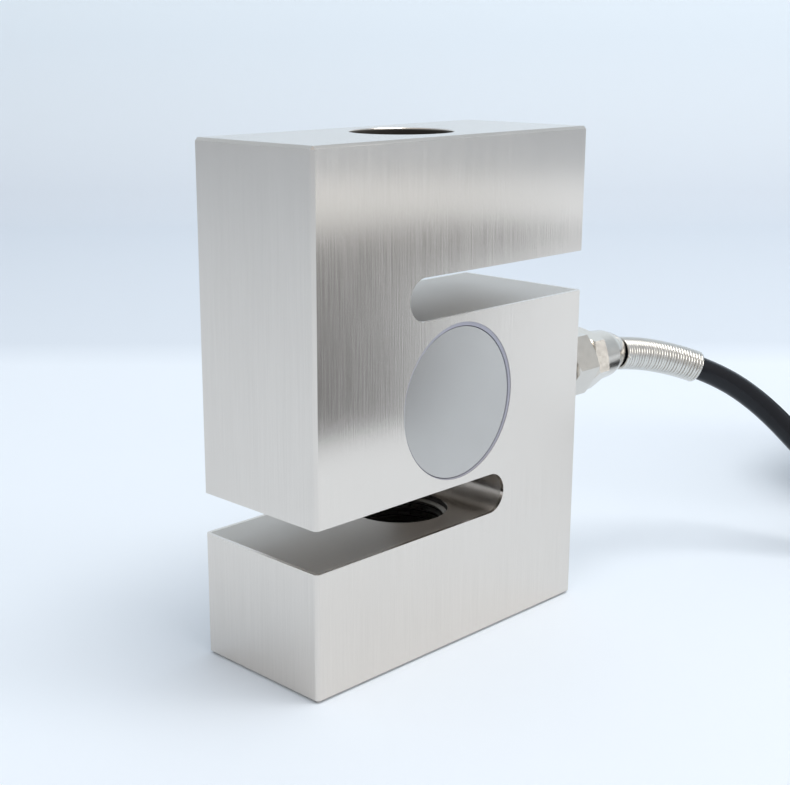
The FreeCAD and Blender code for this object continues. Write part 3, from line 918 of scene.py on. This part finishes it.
class LOADCELL_OT_set_stage(Operator):
    """Set the floor, the backdrop, the cards, the lamps and the camera"""

    bl_idname = "loadcell.set_stage"
    bl_label = "Set Stage"

    def execute(self, context):
        stage = context.scene.load_cell.stage
        self.backdrop(stage)
        self.sky(context, stage)
        for name, values in CARDS.items():
            self.card(name, **values)
        for name, values in LAMPS.items():
            self.lamp(name, **values)
        self.camera(context, stage)
        context.scene.view_settings.view_transform = "Standard"
        return {"FINISHED"}

    def backdrop(self, stage):
        """Make the floor that turns up into the wall behind the object."""
        across = Vector((AWAY.y, -AWAY.x, 0.0))
        bend_start = stage.wall_distance - stage.wall_bend
        profile = [(SHEET_FRONT, 0.0), (bend_start, 0.0)]
        for step in range(1, BEND_STEPS + 1):
            turn = math.pi / 2.0 * step / BEND_STEPS
            forward = bend_start + stage.wall_bend * math.sin(turn)
            profile.append((forward, stage.wall_bend * (1.0 - math.cos(turn))))
        profile.append((stage.wall_distance, SHEET_HEIGHT))
        points = []
        for forward, height in profile:
            for side in (-SHEET_HALF_WIDTH, SHEET_HALF_WIDTH):
                level = AWAY * forward + across * side
                points.append(level + Vector((0.0, 0.0, height - SHEET_DROP)))
        faces = [(2 * i, 2 * i + 1, 2 * i + 3, 2 * i + 2) for i in range(len(profile) - 1)]
        mesh = smooth_mesh("studio_floor", points, faces)
        self.add_to_stage("studio_floor", mesh, self.paper(stage))

    def paper(self, stage):
        """Return the backdrop's paper, whose colour changes towards the wall: painted shade on the far
        floor and lower wall, painted light on the upper wall.
        """
        finish = Finish("studio_paper", tuple(stage.floor_colour), 0.75)
        finish.shader.inputs["Specular IOR Level"].default_value = 0.25
        source = finish.node("ShaderNodeTexCoord")
        split = finish.node("ShaderNodeSeparateXYZ")
        finish.link(source.outputs["Object"], split.inputs[0])
        x, y, z = split.outputs
        over_x = finish.maths("MULTIPLY", x, AWAY.x)
        over_y = finish.maths("MULTIPLY", y, AWAY.y)
        along = finish.maths("ADD", finish.maths("ADD", over_x, over_y), z)
        # Painted shade from the near floor on, and painted light up the wall
        near = stage.near_floor
        foot = finish.spread(along, 0.0, 1.0, near, near + FOOT_BLEND)
        tone = finish.mixed(foot, tuple(stage.floor_colour), tuple(stage.wall_painted_shade))
        wall = stage.wall_distance
        rise = finish.spread(along, 0.0, 1.0, wall - RISE_BEFORE, wall + RISE_AFTER)
        tone = finish.mixed(rise, tone, tuple(stage.upper_painted_light))
        finish.link(tone, finish.shader.inputs["Base Color"])
        finish.bump(finish.speckle(900.0, 2.0), 0.00002)
        return finish

    def card(self, name, corners, tint):
        """Lay one card just over the floor, seen only in reflections, as a painted reflection."""
        points = [Vector((x, y, CARD_LIFT)) for x, y in corners]
        mesh = smooth_mesh(name, points, [tuple(reversed(range(len(points))))])
        card = self.add_to_stage(name, mesh, moulded(name, tint, 0.85))
        card.visible_camera = False
        card.visible_diffuse = False
        card.visible_shadow = False

    def add_to_stage(self, name, mesh, finish):
        """Link a new object that is not part of the load cell."""
        made = bpy.data.objects.new(name, mesh)
        mesh.materials.append(finish.material)
        bpy.context.scene.collection.objects.link(made)
        return made

    def sky(self, context, stage):
        """Light the scene softly from all round."""
        world = bpy.data.worlds.new("studio_sky")
        world.use_nodes = True
        back = world.node_tree.nodes["Background"]
        back.inputs["Color"].default_value = (0.97, 0.98, 1.0, 1.0)
        back.inputs["Strength"].default_value = stage.sky_strength
        context.scene.world = world

    def lamp(self, name, place, target, size, power):
        """Add one soft square lamp that points at a target."""
        data = bpy.data.lights.new(name, "AREA")
        data.size = size
        data.energy = power
        data.color = (1.0, 0.99, 0.97)
        light = bpy.data.objects.new(name, data)
        light.location = place
        aim = Vector(target) - Vector(place)
        light.rotation_euler = aim.to_track_quat("-Z", "Y").to_euler()
        bpy.context.scene.collection.objects.link(light)

    def camera(self, context, stage):
        """Place the camera at the front left, a little above the object."""
        level = math.cos(CAMERA_RISE)
        back = Vector((
            math.sin(CAMERA_TURN) * level,
            -math.cos(CAMERA_TURN) * level,
            math.sin(CAMERA_RISE),
        ))
        right = Vector((math.cos(CAMERA_TURN), math.sin(CAMERA_TURN), 0.0))
        up = back.cross(right)
        side = right * math.cos(CAMERA_ROLL) + up * math.sin(CAMERA_ROLL)
        over = up * math.cos(CAMERA_ROLL) - right * math.sin(CAMERA_ROLL)
        data = bpy.data.cameras.new("studio_camera")
        data.sensor_width = 36.0
        data.lens = stage.lens
        data.shift_x, data.shift_y = CAMERA_SHIFT
        data.clip_start = 0.01
        camera = bpy.data.objects.new("studio_camera", data)
        place = Matrix((side, over, back)).transposed().to_4x4()
        place.translation = CAMERA_PLACE
        camera.matrix_world = place
        context.scene.collection.objects.link(camera)
        context.scene.camera = camera


STEPS = (
    LOADCELL_OT_finish_block,
    LOADCELL_OT_finish_inside,
    LOADCELL_OT_cut_threads,
    LOADCELL_OT_finish_gland,
    LOADCELL_OT_run_cable,
    LOADCELL_OT_wind_spring,
    LOADCELL_OT_dress_leads,
    LOADCELL_OT_declare_cable,
    LOADCELL_OT_set_stage,
)


class LOADCELL_PT_panel(Panel):
    """Panel that lists the load cell's settings and operators"""

    bl_idname = "LOADCELL_PT_panel"
    bl_label = "Load Cell"
    bl_space_type = "VIEW_3D"
    bl_region_type = "UI"
    bl_category = "Load Cell"

    def draw(self, context):
        layout = self.layout
        settings = context.scene.load_cell
        for name in ("steel", "thread", "spring", "cable", "metal", "stage"):
            group = getattr(settings, name)
            box = layout.box()
            box.label(text=name.capitalize())
            for key in group.bl_rna.properties.keys():
                if key not in ("rna_type", "name"):
                    box.prop(group, key)
        for step in STEPS:
            layout.operator(step.bl_idname)


CLASSES = (
    SteelSettings,
    ThreadSettings,
    SpringSettings,
    CableSettings,
    MetalSettings,
    StageSettings,
    LoadCellSettings,
) + STEPS + (LOADCELL_PT_panel,)


def register():
    """Register the classes and the scene's settings."""
    for item in CLASSES:
        bpy.utils.register_class(item)
    bpy.types.Scene.load_cell = PointerProperty(type=LoadCellSettings)


def unregister():
    """Remove the scene's settings and the classes."""
    del bpy.types.Scene.load_cell
    for item in reversed(CLASSES):
        bpy.utils.unregister_class(item)


def main():
    """Make every piece in order."""
    register()
    for step in STEPS:
        group, name = step.bl_idname.split(".")
        getattr(getattr(bpy.ops, group), name)()


if __name__ == "__main__":
    main()
